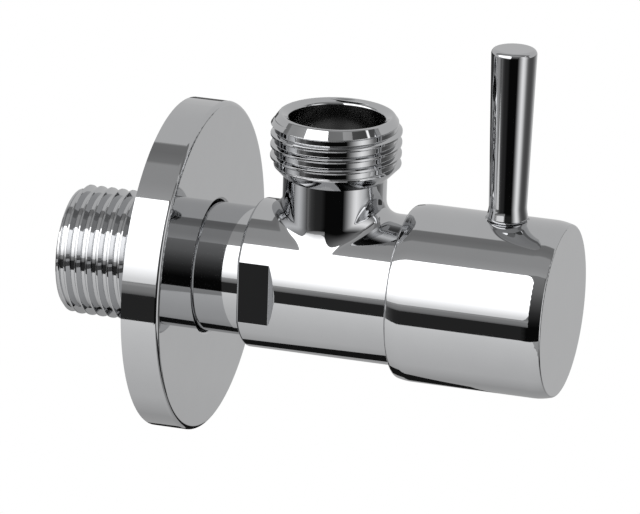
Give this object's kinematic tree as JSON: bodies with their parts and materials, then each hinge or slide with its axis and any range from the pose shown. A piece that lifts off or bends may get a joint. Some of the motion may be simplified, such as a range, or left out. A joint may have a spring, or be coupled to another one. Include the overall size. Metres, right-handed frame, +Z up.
{
  "type": "angle shut-off valve",
  "caption": "Chrome-plated angle shut-off valve: threaded inlet with sliding wall rosette, upright threaded outlet, round handle with a slender lever.",
  "frame": {"origin": "on the valve's axis, in the plane of the finished wall, where the inlet thread ends and the rosette's back rim lies", "axes": "+X runs out of the wall along the valve to the handle, +Z runs up along the outlet, +Y is to the right for a person who faces the wall"},
  "size_m": [0.082, 0.0534, 0.0688],
  "materials": {
    "chrome": "polished chrome plate on brass",
    "chrome_zinc": "polished chrome plate on die-cast zinc",
    "raw_brass": "plain machined brass",
    "rubber": "matt black rubber",
    "ceramic": null,
    "fibre": "red-brown fibre washer",
    "slip_plastic": "white low-friction plastic",
    "adapter_plastic": "grey-black moulded plastic",
    "steel": "stainless steel"
  },
  "bodies": {
    "valve": {"valve_body": "chrome", "seat_seal": "rubber", "seat_seal_support_ring": "slip_plastic", "ceramic_disc_fixed": "ceramic", "bonnet": "raw_brass", "bonnet_washer": "fibre"},
    "handle_group": {"handle": "chrome_zinc", "lever_rod": "chrome", "lever_stud": "steel", "handle_grub_screw": "steel", "spline_adapter": "adapter_plastic", "adapter_screw": "steel", "spindle": "raw_brass", "spindle_circlip": "steel", "spindle_o_ring_inner": "rubber", "spindle_o_ring_outer": "rubber", "thrust_washer": "slip_plastic", "ceramic_disc_moving": "ceramic"},
    "rosette_group": {"wall_rosette": "chrome", "rosette_grip_ring": "rubber"}
  },
  "joints": [
    {"name": "handle_turn", "type": "hinge", "parent": "valve", "child": "handle_group", "pos_m": [0, 0, 0], "axis": [-1, 0, 0], "range_deg": [0, 90]},
    {"name": "rosette_slide", "type": "slide", "parent": "valve", "child": "rosette_group", "axis": [1, 0, 0], "range_m": [-0.008, 0.0073]}
  ]
}
